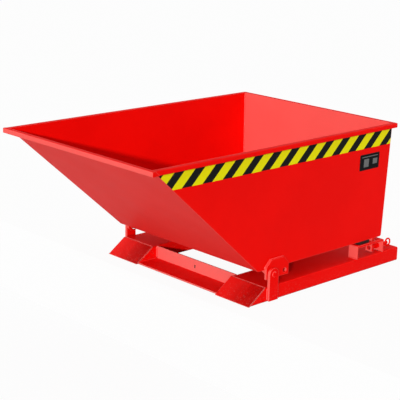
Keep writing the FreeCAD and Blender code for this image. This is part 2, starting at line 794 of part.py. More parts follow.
def make_lock_bolt():
    """Turned bolt with a wider nose, a stop pin and a pull ring."""
    body = new_body("lock_bolt")
    end = f"({RING_HOLE_Y} + ring_hole_diameter)"
    profile = [
        ("0", NOSE_TIP_Y),
        ("(bolt_nose_diameter / 2 - bolt_nose_chamfer)", NOSE_TIP_Y),
        ("(bolt_nose_diameter / 2)", f"({NOSE_TIP_Y} + bolt_nose_chamfer)"),
        ("(bolt_nose_diameter / 2)", SHOULDER_Y),
        ("(bolt_diameter / 2)", SHOULDER_Y),
        ("(bolt_diameter / 2)", end),
        ("0", end),
    ]
    moved = [(f"({BOLT_X} + {u})", v) for u, v in profile]
    sketch = outline_sketch(body, "XY_Plane", BOLT_Z, [moved])
    turned = body.newObject("PartDesign::Revolution", "bolt_turned")
    turned.Profile = sketch
    turned.ReferenceAxis = (sketch, ["Edge7"])
    turned.Angle = 360
    doc.recompute()
    ring_hole = [((BOLT_X, RING_HOLE_Y), "ring_hole_diameter")]
    cut(body, outline_sketch(body, "XY_Plane", BOLT_Z, circles=ring_hole))
    stop_hole = [((STOP_PIN_Y, BOLT_Z), "(stop_pin_diameter + 2 * bolt_clearance)")]
    cut(body, outline_sketch(body, "YZ_Plane", BOLT_X, circles=stop_hole))

    stop = new_body("bolt_stop_pin")
    circle = [((STOP_PIN_Y, BOLT_Z), "stop_pin_diameter")]
    start = f"({BOLT_X} - stop_pin_length / 2)"
    pad(stop, outline_sketch(stop, "YZ_Plane", start, circles=circle), "stop_pin_length")

    ring = new_body("pull_ring")
    middle = f"({RING_HOLE_Y} + {RING_RADIUS} - ring_sag)"
    edges = [
        ((middle, BOLT_Z), "ring_diameter"),
        ((middle, BOLT_Z), "(ring_diameter - 2 * ring_bar)"),
    ]
    pad(ring, outline_sketch(ring, "YZ_Plane", BOLT_X, circles=edges), "ring_bar", True)


make_wrap_sheet()
make_side_sheets()
make_side_rims()
make_rear_rim()
make_front_lip()
make_marking()
make_pivot_lugs()
make_lug_gussets()
make_lock_keeper()
make_fork_tubes()
make_nose_plates()
make_cross_members()
make_rear_brackets()
make_buffers()
make_uprights()
make_pivot_pins()
make_guide_bush()
make_lock_bolt()
doc.recompute()

for item in doc.Objects:
    if "Invalid" in item.State or "Error" in item.State:
        raise RuntimeError(f"{item.Label}: the feature failed")
for sub_part in sub_parts:
    shape = sub_part.Shape
    if shape.isNull() or not shape.isValid() or not shape.Volume > 0:
        raise RuntimeError(f"{sub_part.Label}: the shape is not a valid solid")

os.makedirs("parts", exist_ok=True)
for sub_part in sub_parts:
    sub_part.Shape.exportStep(f"parts/{sub_part.Label}.step")
    box = sub_part.Shape.BoundBox
    print(sub_part.Label, len(sub_part.Shape.Solids), round(sub_part.Shape.Volume), box)
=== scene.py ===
import json
import math

import bpy
from mathutils import Matrix, Vector


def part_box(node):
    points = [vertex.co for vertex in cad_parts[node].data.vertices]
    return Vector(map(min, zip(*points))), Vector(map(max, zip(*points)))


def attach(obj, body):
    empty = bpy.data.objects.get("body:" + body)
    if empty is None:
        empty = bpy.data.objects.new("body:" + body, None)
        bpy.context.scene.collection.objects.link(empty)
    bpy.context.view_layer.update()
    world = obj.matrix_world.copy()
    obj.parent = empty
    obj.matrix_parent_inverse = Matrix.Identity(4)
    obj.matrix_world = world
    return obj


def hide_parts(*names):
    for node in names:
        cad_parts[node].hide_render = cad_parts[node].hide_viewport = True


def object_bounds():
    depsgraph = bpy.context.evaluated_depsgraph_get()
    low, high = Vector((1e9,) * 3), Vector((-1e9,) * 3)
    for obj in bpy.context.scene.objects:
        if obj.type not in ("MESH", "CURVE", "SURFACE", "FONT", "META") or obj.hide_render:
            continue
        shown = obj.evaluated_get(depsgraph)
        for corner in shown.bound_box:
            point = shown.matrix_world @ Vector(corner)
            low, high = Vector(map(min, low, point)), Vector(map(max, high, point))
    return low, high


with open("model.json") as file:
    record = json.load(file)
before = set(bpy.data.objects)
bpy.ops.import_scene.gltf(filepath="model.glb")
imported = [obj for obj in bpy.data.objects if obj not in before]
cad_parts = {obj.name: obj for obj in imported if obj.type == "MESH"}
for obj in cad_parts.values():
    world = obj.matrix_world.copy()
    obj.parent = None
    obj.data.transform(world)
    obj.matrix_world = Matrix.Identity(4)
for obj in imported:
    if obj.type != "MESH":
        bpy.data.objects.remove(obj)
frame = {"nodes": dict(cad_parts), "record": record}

# Looks of the tipping skip: paint, marking tape, rubber, weld beads, floor, light and camera.
# Metres, +Z up, the pouring lip faces -Y, the lock bolt is on the +X side.

cad_low, cad_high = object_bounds()
nodes = frame["nodes"]

# Colours, linear

RED = (0.80, 0.0022, 0.0008, 1.0)
DEEP_RED = (0.75, 0.0019, 0.0007, 1.0)
# Paler, pinker reds of the painted sheen on forward faces, a painted highlight
SHEEN_PINK_RED = (0.83, 0.105, 0.092, 1.0)
PALE_RED = (0.84, 0.146, 0.130, 1.0)
# Pale red laid along edges: a painted highlight
EDGE_HIGHLIGHT_RED = (0.95, 0.30, 0.26, 1.0)
# Dark red of painted shade, broken up by smudges, toward the right-hand edges of the nose plates
SHADE_AND_SMUDGE_RED = (0.36, 0.0012, 0.0008, 1.0)
PRIMER_GREY = (0.30, 0.27, 0.26, 1.0)
DUST = (0.40, 0.33, 0.28, 1.0)
# Near-black red of painted shade in gaps, corners and the slot of the front angle
SHADE_DARK = (0.030, 0.006, 0.005, 1.0)
BARE_STEEL = (0.56, 0.55, 0.53, 1.0)
TAPE_YELLOW = (0.72, 0.69, 0.003, 1.0)
TAPE_YELLOW_DULL = (0.66, 0.61, 0.003, 1.0)
TAPE_BLACK = (0.008, 0.009, 0.009, 1.0)
PLATE_BLACK = (0.006, 0.0065, 0.0068, 1.0)
FIELD_GREY = (0.085, 0.09, 0.09, 1.0)
FIELD_GREY_PALE = (0.125, 0.13, 0.125, 1.0)
RUBBER_BROWN = (0.034, 0.014, 0.011, 1.0)
RUBBER_GREY = (0.015, 0.010, 0.009, 1.0)
ZINC = (0.62, 0.63, 0.62, 1.0)
ZINC_DULL = (0.40, 0.41, 0.41, 1.0)
FLOOR_GREY = (0.62, 0.62, 0.62, 1.0)
WHITE = (1.0, 1.0, 1.0, 1.0)


# Shader node helpers

NUMBER = "NodeSocketFloat"
DIRECTION = "NodeSocketVector"

# Places of the colour sockets on a Mix node
MIX_SHARE = 0
MIX_FIRST = 6
MIX_SECOND = 7
MIX_RESULT = 2


def add(tree, kind, settings=None, values=None):
    """One node with its settings and its unlinked values."""
    node = tree.nodes.new(kind)
    for name, setting in (settings or {}).items():
        setattr(node, name, setting)
    for name, value in (values or {}).items():
        node.inputs[name].default_value = value
    return node


def join(tree, source, target):
    """A wire from one socket to another."""
    tree.links.new(source, target)


def feed(tree, item, target):
    """A wire into a socket, or a plain number or colour set on it."""
    if isinstance(item, (int, float, tuple)):
        target.default_value = item
    else:
        join(tree, item, target)


def maths(tree, operation, *items):
    """A math node on sockets or plain numbers; gives its output."""
    node = add(tree, "ShaderNodeMath", {"operation": operation})
    for item, target in zip(items, node.inputs):
        feed(tree, item, target)
    return node.outputs["Value"]


def product(tree, first, *others):
    """Product of sockets and plain numbers."""
    result = first
    for factor in others:
        result = maths(tree, "MULTIPLY", result, factor)
    return result


def rest_of(tree, share):
    """What a share leaves of 1."""
    return maths(tree, "SUBTRACT", 1.0, share)


def uneven(tree, texture, spread, least):
    """A least value plus a spread that follows a texture."""
    return maths(tree, "MULTIPLY_ADD", texture, spread, least)


def ramp(tree, source, low, high):
    """Smooth step from 0 at low to 1 at high."""
    settings = {"interpolation_type": "SMOOTHSTEP", "clamp": True}
    node = add(tree, "ShaderNodeMapRange", settings, {"From Min": low, "From Max": high})
    join(tree, source, node.inputs["Value"])
    return node.outputs["Result"]


def noise(tree, place, texture):
    """Noise at a place, with the scale, detail and roughness of a texture."""
    node = add(tree, "ShaderNodeTexNoise", values=texture)
    join(tree, place, node.inputs["Vector"])
    return node.outputs["Fac"]


def patches(tree, place, texture, limits):
    """Mask that rises from 0 to 1 while a noise rises between two limits."""
    return ramp(tree, noise(tree, place, texture), *limits)


def blend_colour(tree, share, first, second):
    """Mix of two colours, each a socket or a plain colour."""
    node = add(tree, "ShaderNodeMix", {"data_type": "RGBA"})
    join(tree, share, node.inputs[MIX_SHARE])
    feed(tree, first, node.inputs[MIX_FIRST])
    feed(tree, second, node.inputs[MIX_SECOND])
    return node.outputs[MIX_RESULT]


def object_place(tree):
    """Place on the object, in metres."""
    return add(tree, "ShaderNodeTexCoord").outputs["Object"]


def object_facing(tree):
    """Direction in which the surface looks."""
    return add(tree, "ShaderNodeTexCoord").outputs["Normal"]


def split(tree, vector):
    """The X, Y and Z of a vector."""
    node = add(tree, "ShaderNodeSeparateXYZ")
    join(tree, vector, node.inputs["Vector"])
    return node.outputs


def stretched(tree, place, scale):
    """A place scaled along each axis, so that a texture draws out along some of them."""
    node = add(tree, "ShaderNodeMapping", values={"Scale": scale})
    join(tree, place, node.inputs["Vector"])
    return node.outputs["Vector"]


def new_group(name, inputs, outputs):
    """An empty node group with named number inputs and named outputs."""
    tree = bpy.data.node_groups.new(name, "ShaderNodeTree")
    for label, start in inputs.items():
        socket = tree.interface.new_socket(label, in_out="INPUT", socket_type=NUMBER)
        socket.default_value = start
    for label, kind in outputs.items():
        tree.interface.new_socket(label, in_out="OUTPUT", socket_type=kind)
    entry = add(tree, "NodeGroupInput")
    leave = add(tree, "NodeGroupOutput")
    return tree, entry.outputs, leave.inputs


def use_group(tree, group, values=None):
    """A group placed in a material with its own values; gives its outputs."""
    return add(tree, "ShaderNodeGroup", {"node_tree": group}, values).outputs


# Sprayed skin, an effect of all paints

SKIN_INPUTS = {"Peel Scale": 420.0, "Peel Depth": 0.00003, "Wave Scale": 5.0, "Wave Depth": 0.0006}
SKIN_TEXTURES = {"Peel": {"Detail": 1.5}, "Wave": {"Detail": 1.0}}
TONE_CLOUDS = {"Scale": 2.3, "Detail": 4.0, "Roughness": 0.6}
TONE_LIMITS = (0.35, 0.68)


def make_sprayed_skin():
    """Orange peel of sprayed powder over sheet that is a little wavy, and a slow change of tone."""
    tree, entry, leave = new_group("sprayed_skin", SKIN_INPUTS, {"Height": NUMBER, "Tone": NUMBER})
    place = object_place(tree)
    heights = []
    for label, texture in SKIN_TEXTURES.items():
        node = add(tree, "ShaderNodeTexNoise", values=texture)
        join(tree, place, node.inputs["Vector"])
        join(tree, entry[f"{label} Scale"], node.inputs["Scale"])
        heights.append(product(tree, node.outputs["Fac"], entry[f"{label} Depth"]))
    join(tree, maths(tree, "ADD", *heights), leave["Height"])
    join(tree, patches(tree, place, TONE_CLOUDS, TONE_LIMITS), leave["Tone"])
    return tree


# Rounded edges, an effect of paint, plate, rubber and zinc

EDGE_INPUTS = {"Radius": 0.0012, "Spread": 0.004}
EDGE_LIMITS = (0.02, 0.22)
BEVEL_SAMPLES = 4


def make_rounded_edges():
    """Soft highlight along sharp edges and a mask that is 1 on them."""
    tree, entry, leave = new_group("rounded_edges", EDGE_INPUTS, {"Normal": DIRECTION, "Edge": NUMBER})
    rounded = {}
    for label in EDGE_INPUTS:
        bevel = add(tree, "ShaderNodeBevel", {"samples": BEVEL_SAMPLES})
        join(tree, entry[label], bevel.inputs["Radius"])
        rounded[label] = bevel.outputs["Normal"]
    join(tree, rounded["Radius"], leave["Normal"])
    likeness = add(tree, "ShaderNodeVectorMath", {"operation": "DOT_PRODUCT"})
    join(tree, rounded["Spread"], likeness.inputs[0])
    join(tree, add(tree, "ShaderNodeNewGeometry").outputs["Normal"], likeness.inputs[1])
    turned = rest_of(tree, likeness.outputs["Value"])
    join(tree, ramp(tree, turned, *EDGE_LIMITS), leave["Edge"])
    return tree


# Settled dust, an effect of paint and rubber

DUST_INPUTS = {"Lying": 0.2, "Splash": 0.2, "Splash Height": 0.09}
UP_LIMITS = (0.35, 0.95)
DUST_PATCHES = {"Scale": 9.0, "Detail": 6.0, "Roughness": 0.62}
DUST_LIMITS = (0.42, 0.72)
SPLASH_SPECKS = {"Scale": 150.0, "Detail": 2.0, "Roughness": 0.7}
SPECK_LIMITS = (0.56, 0.72)


def make_settled_dust():
    """Thin dust on faces that look up, and splashes near the ground."""
    tree, entry, leave = new_group("settled_dust", DUST_INPUTS, {"Mask": NUMBER})
    place = object_place(tree)
    up = ramp(tree, split(tree, object_facing(tree))["Z"], *UP_LIMITS)
    drifts = patches(tree, place, DUST_PATCHES, DUST_LIMITS)
    lying = product(tree, up, drifts, entry["Lying"])
    height = maths(tree, "DIVIDE", split(tree, place)["Z"], entry["Splash Height"])
    low = rest_of(tree, ramp(tree, height, 0.0, 1.0))
    specks = patches(tree, place, SPLASH_SPECKS, SPECK_LIMITS)
    splash = product(tree, low, specks, entry["Splash"])
    join(tree, maths(tree, "MAXIMUM", lying, splash), leave["Mask"])
    return tree


# Painted sheen, a painted highlight: a paler, pinker red on faces that look forward, where the light
# falls; an effect of the paints of skip and base

FORWARD_LIMITS = (0.50, 0.95)
SHEEN_PATCHES = {"Scale": 3.1, "Detail": 4.0, "Roughness": 0.6}
SHEEN_STRENGTH = {"spread": 0.3, "least": 0.8}


def make_painted_front_sheen():
    """Mask of painted sheen, a painted highlight: about 1 on faces that look forward, 0 on faces that look
    up or sideways.
    """
    tree, entry, leave = new_group("painted_front_sheen", {"Share": 1.0}, {"Mask": NUMBER})
    forward = maths(tree, "MULTIPLY", split(tree, object_facing(tree))["Y"], -1.0)
    strength = uneven(tree, noise(tree, object_place(tree), SHEEN_PATCHES), **SHEEN_STRENGTH)
    painted_sheen = product(tree, ramp(tree, forward, *FORWARD_LIMITS), strength, entry["Share"])
    join(tree, painted_sheen, leave["Mask"])
    return tree


# Painted corner shade: darker red in narrow gaps and inside corners, where shade falls; an effect of the
# paints of skip and base

CORNER_SHADE_INPUTS = {"Reach": 0.012}
CORNER_SHADE_LIMITS = (0.25, 0.75)
HOLLOW_SAMPLES = 6


def make_painted_corner_shade():
    """Mask of painted shade that is 1 in narrow gaps and fades out of inside corners."""
    tree, entry, leave = new_group("painted_corner_shade", CORNER_SHADE_INPUTS, {"Mask": NUMBER})
    hollow = add(tree, "ShaderNodeAmbientOcclusion", {"samples": HOLLOW_SAMPLES})
    join(tree, entry["Reach"], hollow.inputs["Distance"])
    closed = rest_of(tree, hollow.outputs["AO"])
    join(tree, ramp(tree, closed, *CORNER_SHADE_LIMITS), leave["Mask"])
    return tree


sprayed_skin = make_sprayed_skin()
rounded_edges = make_rounded_edges()
settled_dust = make_settled_dust()
painted_corner_shade = make_painted_corner_shade()
painted_front_sheen = make_painted_front_sheen()


# Helpers of the finishes

def empty_tree(owner):
    """The node tree of a material or a world, with nothing in it."""
    owner.use_nodes = True
    owner.node_tree.nodes.clear()
    return owner.node_tree


def new_finish(name, values=None):
    """A material whose output is one Principled shader with its plain values."""
    material = bpy.data.materials.new(name)
    tree = empty_tree(material)
    shader = add(tree, "ShaderNodeBsdfPrincipled", values=values)
    output = add(tree, "ShaderNodeOutputMaterial")
    join(tree, shader.outputs["BSDF"], output.inputs["Surface"])
    return material, tree, shader.inputs


def coat(tree, surface, colour, roughness):
    """Colour and roughness of a finish."""
    join(tree, colour, surface["Base Color"])
    join(tree, roughness, surface["Roughness"])


def roughen(tree, surface, height, strength, normal=None):
    """Bump from a height in metres, over a normal where one is given."""
    bump = add(tree, "ShaderNodeBump", values={"Strength": strength, "Distance": 1.0})
    join(tree, height, bump.inputs["Height"])
    if normal is not None:
        join(tree, normal, bump.inputs["Normal"])
    join(tree, bump.outputs["Normal"], surface["Normal"])


# Red paint of the skip and its base

PAINT_SPECULAR = 0.04
PAINT_ROUGHNESS = 0.42
PAINT_BUMP = 1.0
PAINT_CHIPS = {"Scale": 95.0, "Detail": 4.0, "Roughness": 0.7}
PAINT_CHIP_LIMITS = (0.60, 0.66)
SMEARS = {"Scale": 7.0, "Detail": 5.0, "Roughness": 0.6}
SMEAR_ROUGHNESS = 0.12
DUST_ROUGHNESS = 0.35

# Painted shade, broken up by smudges, grows across each nose plate, from its left-hand to its right-hand
# edge
SMUDGE_STRETCH = (1.0, 0.35, 0.35)
SMUDGES = {"Scale": 30.0, "Detail": 5.0, "Roughness": 0.65}
SMUDGE_LIMITS = (0.30, 0.60)
SHADE_AND_SMUDGE_STRENGTH = {"spread": 0.5, "least": 0.5}

# Painted shade lies in and round the slot of the front angle, half way up its upright leg
SLOT_SHADE_HALF_WIDTH = 0.0032
SLOT_SHADE_HALF_HEIGHT = 0.0082
SLOT_SHADE_DEPTH = 0.0055
SLOT_SHADE_SOFTNESS = 0.0004

# Each look sets, among others, a painted highlight on forward faces, a painted highlight along edges and
# painted shade in corners and gaps
BODY_LOOK = {
    "painted_sheen": SHEEN_PINK_RED,
    "specular": PAINT_SPECULAR,
    "roughness": PAINT_ROUGHNESS,
    "wave_depth": 0.0008,
    "edge_highlight": 0.22,
    "wear": 0.05,
    "painted_shade": 0.35,
    "lying": 0.02,
    "splash": 0.0,
}
FRAME_LOOK = {
    **BODY_LOOK,
    "wave_depth": 0.0003,
    "edge_highlight": 0.45,
    "wear": 0.12,
    "painted_shade": 0.45,
    "splash": 0.2,
}
# Edges of nose plates and front angle with more painted highlight and more wear
HIGHLIT_AND_WORN_EDGES = {"edge_highlight": 0.8, "wear": 0.25}
NOSE_LOOK = {**FRAME_LOOK, **HIGHLIT_AND_WORN_EDGES, "shade_and_smudge": 0.95}
# The front angle has a paler painted sheen and painted shade in its slot
ANGLE_LOOK = {**FRAME_LOOK, **HIGHLIT_AND_WORN_EDGES, "painted_sheen": PALE_RED, "slot_shade": True}
WELD_LOOK = {
    **FRAME_LOOK,
    "specular": 0.5,
    "roughness": 0.26,
    "wave_depth": 0.0001,
    "painted_shade": 0.0,
    "splash": 0.1,
}


def slot_shade_mask(tree, place):
    """Mask of painted shade that is 1 in a box about the slot of the front angle, with soft sides."""
    low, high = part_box("front_cross_angle")
    middle = (low.z + high.z) / 2
    spans = {
        "X": (-SLOT_SHADE_HALF_WIDTH, SLOT_SHADE_HALF_WIDTH),
        "Y": (high.y - SLOT_SHADE_DEPTH, high.y),
        "Z": (middle - SLOT_SHADE_HALF_HEIGHT, middle + SLOT_SHADE_HALF_HEIGHT),
    }
    axes = split(tree, place)
    sides = []
    for axis, (start, end) in spans.items():
        rise = ramp(tree, axes[axis], start - SLOT_SHADE_SOFTNESS, start)
        fall = ramp(tree, axes[axis], end, end + SLOT_SHADE_SOFTNESS)
        sides.append(maths(tree, "SUBTRACT", rise, fall))
    return product(tree, *sides)


def shade_and_smudge_mask(tree, place, amount):
    """Mask of painted shade broken up by smudges, which grows toward the right-hand edge of each nose
    plate.
    """
    low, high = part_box("nose_plate_left")
    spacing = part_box("nose_plate_right")[0].x - low.x
    from_left = maths(tree, "SUBTRACT", split(tree, place)["X"], low.x)
    across = maths(tree, "FRACT", maths(tree, "DIVIDE", from_left, spacing))
    toward_right = ramp(tree, across, 0.0, (high.x - low.x) / spacing)
    marks = patches(tree, stretched(tree, place, SMUDGE_STRETCH), SMUDGES, SMUDGE_LIMITS)
    return product(tree, toward_right, uneven(tree, marks, **SHADE_AND_SMUDGE_STRENGTH), amount)


def make_paint(name, look):
    """Red powder coat: peel, a slow change of tone, a painted sheen on forward faces, painted highlights
    and rubbed paint on edges, painted shade in corners and gaps and on the nose plates with smudges, and a
    little dust.
    """
    material, tree, surface = new_finish(name, {"Specular IOR Level": look["specular"]})
    place = object_place(tree)
    skin = use_group(tree, sprayed_skin, {"Wave Depth": look["wave_depth"]})
    edges = use_group(tree, rounded_edges)
    dust = use_group(tree, settled_dust, {"Lying": look["lying"], "Splash": look["splash"]})
    chips = patches(tree, place, PAINT_CHIPS, PAINT_CHIP_LIMITS)
    # Painted highlight: paler, pinker red on faces that look forward
    layers = [(use_group(tree, painted_front_sheen)["Mask"], look["painted_sheen"])]
    # Painted shade with smudges toward the right-hand edge of each nose plate
    if "shade_and_smudge" in look:
        layers.append((shade_and_smudge_mask(tree, place, look["shade_and_smudge"]), SHADE_AND_SMUDGE_RED))
    # Painted highlight: edges lightened toward pale red
    layers.append((product(tree, edges["Edge"], look["edge_highlight"]), EDGE_HIGHLIGHT_RED))
    layers.append((product(tree, edges["Edge"], chips, look["wear"]), PRIMER_GREY))
    # Painted shade: darker in narrow gaps and inside corners, from ambient occlusion
    layers.append((product(tree, use_group(tree, painted_corner_shade)["Mask"], look["painted_shade"]), SHADE_DARK))
    # Painted shade in and round the slot of the front angle
    if "slot_shade" in look:
        layers.append((slot_shade_mask(tree, place), SHADE_DARK))
    layers.append((dust["Mask"], DUST))
    colour = blend_colour(tree, skin["Tone"], DEEP_RED, RED)
    for mask, cover in layers:
        colour = blend_colour(tree, mask, colour, cover)
    smeared = uneven(tree, noise(tree, place, SMEARS), SMEAR_ROUGHNESS, look["roughness"])
    coat(tree, surface, colour, uneven(tree, dust["Mask"], DUST_ROUGHNESS, smeared))
    roughen(tree, surface, skin["Height"], PAINT_BUMP, edges["Normal"])
    return material


# Paint of pins and bolt

FITTING_WAVE = 0.0001
FITTING_EDGES = {"Radius": 0.0007, "Spread": 0.0025}
STREAK_STRETCH = (1.0, 0.12, 1.0)
STREAKS = {"Scale": 260.0, "Detail": 4.0, "Roughness": 0.7}
STREAK_LIMITS = (0.66, 0.72)
STREAK_SHARE = 0.3
STREAK_ROUGHNESS = 0.1
FITTING_CHIPS = {"Scale": 300.0, "Detail": 3.0, "Roughness": 0.7}
FITTING_CHIP_LIMITS = (0.58, 0.64)
FITTING_CHIP_SHARE = 0.4


def make_rubbed_paint():
    """Paint on pins and bolt, worn to bright steel in streaks where pieces slide."""
    material, tree, surface = new_finish("rubbed_fitting_paint", {"Specular IOR Level": PAINT_SPECULAR})
    place = object_place(tree)
    skin = use_group(tree, sprayed_skin, {"Wave Depth": FITTING_WAVE})
    edges = use_group(tree, rounded_edges, FITTING_EDGES)
    streaks = patches(tree, stretched(tree, place, STREAK_STRETCH), STREAKS, STREAK_LIMITS)
    chips = patches(tree, place, FITTING_CHIPS, FITTING_CHIP_LIMITS)
    streaked = product(tree, streaks, STREAK_SHARE)
    chipped = product(tree, edges["Edge"], chips, FITTING_CHIP_SHARE)
    bare = maths(tree, "MAXIMUM", streaked, chipped)
    toned = blend_colour(tree, skin["Tone"], DEEP_RED, RED)
    colour = blend_colour(tree, bare, toned, BARE_STEEL)
    coat(tree, surface, colour, uneven(tree, streaks, STREAK_ROUGHNESS, PAINT_ROUGHNESS))
    join(tree, bare, surface["Metallic"])
    roughen(tree, surface, skin["Height"], PAINT_BUMP, edges["Normal"])
    return material


# Marking film; its stripes are measured along the side

STRIPE_PITCH = 0.1041
STRIPE_START = 1.1956
YELLOW_SHARE = 0.515
STRIPE_SOFTNESS = 0.006
FILM_SPECULAR = 0.03
FILM_FADE = {"Scale": 3.0, "Detail": 3.0}
FILM_SCUFFS = {"Scale": 34.0, "Detail": 6.0, "Roughness": 0.7}
FILM_SCUFF_LIMITS = (0.62, 0.80)
FILM_SCUFF_SHARE = 0.10
FILM_ROUGHNESS = {"spread": 0.18, "least": 0.40}
FILM_GRAIN = {"Scale": 1400.0, "Detail": 1.0}
FILM_GRAIN_DEPTH = 0.00003
FILM_INK_DEPTH = 0.00004
FILM_BUMP = 0.6


def black_stripes(tree, place):
    """Mask of the slanting black stripes."""
    axes = split(tree, place)
    slant = maths(tree, "SUBTRACT", axes["Y"], axes["Z"])
    along = maths(tree, "DIVIDE", maths(tree, "ADD", slant, STRIPE_START), STRIPE_PITCH)
    part = maths(tree, "FRACT", along)
    into_black = ramp(tree, part, YELLOW_SHARE - STRIPE_SOFTNESS, YELLOW_SHARE + STRIPE_SOFTNESS)
    out_of_black = ramp(tree, part, 1.0 - 2.0 * STRIPE_SOFTNESS, 1.0)
    return maths(tree, "SUBTRACT", into_black, out_of_black)


def make_marking_film():
    """Yellow film with slanting black stripes, satin, with a fine grain and scuffs."""
    material, tree, surface = new_finish("marking_film", {"Specular IOR Level": FILM_SPECULAR})
    place = object_place(tree)
    black = black_stripes(tree, place)
    scuffs = patches(tree, place, FILM_SCUFFS, FILM_SCUFF_LIMITS)
    yellow = blend_colour(tree, noise(tree, place, FILM_FADE), TAPE_YELLOW, TAPE_YELLOW_DULL)
    striped = blend_colour(tree, black, yellow, TAPE_BLACK)
    scuffed = blend_colour(tree, product(tree, scuffs, FILM_SCUFF_SHARE), striped, DUST)
    coat(tree, surface, scuffed, uneven(tree, scuffs, **FILM_ROUGHNESS))
    ink = product(tree, black, FILM_INK_DEPTH)
    roughen(tree, surface, uneven(tree, noise(tree, place, FILM_GRAIN), FILM_GRAIN_DEPTH, ink), FILM_BUMP)
    return material


# Black plate and its blank fields

BRUSH_STRETCH = (1.0, 0.06, 1.0)
BRUSHED_LINES = {"Scale": 900.0, "Detail": 3.0, "Roughness": 0.7}
PLATE_EDGES = {"Radius": 0.0006, "Spread": 0.0022}
PLATE_RUB = 0.5
PLATE_ROUGHNESS = {"spread": 0.2, "least": 0.32}
PLATE_LINE_DEPTH = 0.00003
PLATE_BUMP = 0.7
FIELD_GRAIN = {"Scale": 520.0, "Detail": 4.0, "Roughness": 0.75}
FIELD_LIMITS = (0.35, 0.65)
FIELD_ROUGHNESS = {"spread": 0.2, "least": 0.4}
FIELD_GRAIN_DEPTH = 0.00003
FIELD_BUMP = 0.6


def make_plate_black():
    """Satin black plate, brushed along its length and rubbed a little at its edges."""
    material, tree, surface = new_finish("plate_black_satin", {"Specular IOR Level": FILM_SPECULAR})
    lines = noise(tree, stretched(tree, object_place(tree), BRUSH_STRETCH), BRUSHED_LINES)
    edges = use_group(tree, rounded_edges, PLATE_EDGES)
    rub = product(tree, lines, PLATE_RUB, edges["Edge"])
    rubbed = blend_colour(tree, rub, PLATE_BLACK, FIELD_GREY)
    coat(tree, surface, rubbed, uneven(tree, lines, **PLATE_ROUGHNESS))
    roughen(tree, surface, product(tree, lines, PLATE_LINE_DEPTH), PLATE_BUMP, edges["Normal"])
    return material


def make_field_grey():
    """Blank grey fields on the plate."""
    material, tree, surface = new_finish("plate_field_grey")
    grain = noise(tree, object_place(tree), FIELD_GRAIN)
    mottled = blend_colour(tree, ramp(tree, grain, *FIELD_LIMITS), FIELD_GREY, FIELD_GREY_PALE)
    coat(tree, surface, mottled, uneven(tree, grain, **FIELD_ROUGHNESS))
    roughen(tree, surface, product(tree, grain, FIELD_GRAIN_DEPTH), FIELD_BUMP)
    return material


# Rubber of the rest buffers

RUBBER_SPECULAR = 0.12
RUBBER_BLOOM = {"Scale": 42.0, "Detail": 5.0, "Roughness": 0.65}
RUBBER_BLOOM_LIMITS = (0.30, 0.72)
RUBBER_PORES = {"Scale": 650.0, "Detail": 3.0, "Roughness": 0.7}
RUBBER_PORE_DEPTH = 0.0002
RUBBER_DUST = {"Lying": 0.08, "Splash": 0.3, "Splash Height": 0.15}
RUBBER_ROUGHNESS = {"spread": 0.25, "least": 0.62}
RUBBER_EDGES = {"Radius": 0.0015}
RUBBER_BUMP = 0.8


def make_buffer_rubber():
    """Moulded rubber: brown-grey bloom, pores and dust."""
    material, tree, surface = new_finish("buffer_rubber_moulded", {"Specular IOR Level": RUBBER_SPECULAR})
    place = object_place(tree)
    pores = noise(tree, place, RUBBER_PORES)
    bloom = patches(tree, place, RUBBER_BLOOM, RUBBER_BLOOM_LIMITS)
    dust = use_group(tree, settled_dust, RUBBER_DUST)
    edges = use_group(tree, rounded_edges, RUBBER_EDGES)
    rubber = blend_colour(tree, bloom, RUBBER_GREY, RUBBER_BROWN)
    dusty = blend_colour(tree, dust["Mask"], rubber, DUST)
    coat(tree, surface, dusty, uneven(tree, pores, **RUBBER_ROUGHNESS))
    roughen(tree, surface, product(tree, pores, RUBBER_PORE_DEPTH), RUBBER_BUMP, edges["Normal"])
    return material


# Zinc of the small fittings

ZINC_BLOOM = {"Scale": 120.0, "Detail": 5.0, "Roughness": 0.7}
ZINC_BLOOM_LIMITS = (0.35, 0.70)
ZINC_ROUGHNESS = {"spread": 0.22, "least": 0.28}
ZINC_EDGES = {"Radius": 0.0005, "Spread": 0.0015}
ZINC_GRAIN = {"Scale": 900.0, "Detail": 2.0}
ZINC_GRAIN_DEPTH = 0.00004
ZINC_BUMP = 0.7


def make_zinc():
    """Zinc plated steel with a dull bloom."""
    material, tree, surface = new_finish("zinc_plated_steel", {"Metallic": 1.0})
    place = object_place(tree)
    bloom = patches(tree, place, ZINC_BLOOM, ZINC_BLOOM_LIMITS)
    edges = use_group(tree, rounded_edges, ZINC_EDGES)
    coat(tree, surface, blend_colour(tree, bloom, ZINC, ZINC_DULL), uneven(tree, bloom, **ZINC_ROUGHNESS))
    grain = product(tree, noise(tree, place, ZINC_GRAIN), ZINC_GRAIN_DEPTH)
    roughen(tree, surface, grain, ZINC_BUMP, edges["Normal"])
    return material


# Finishes of the CAD pieces

body_paint = make_paint("red_body_paint", BODY_LOOK)
frame_paint = make_paint("red_frame_paint", FRAME_LOOK)
nose_paint = make_paint("red_nose_paint", NOSE_LOOK)
angle_paint = make_paint("red_angle_paint", ANGLE_LOOK)
weld_paint = make_paint("red_weld_paint", WELD_LOOK)
fitting_paint = make_rubbed_paint()
field_grey = make_field_grey()

SLOT_FINISH = {
    "body_paint": body_paint,
    "frame_paint": frame_paint,
    "fitting_paint": fitting_paint,
    "zinc_steel": make_zinc(),
    "buffer_rubber": make_buffer_rubber(),
    "marking_tape": make_marking_film(),
    "plate_black": make_plate_black(),
}
NODE_FINISH = {
    "nose_plate_right": nose_paint,
    "nose_plate_left": nose_paint,
    "front_cross_angle": angle_paint,
}


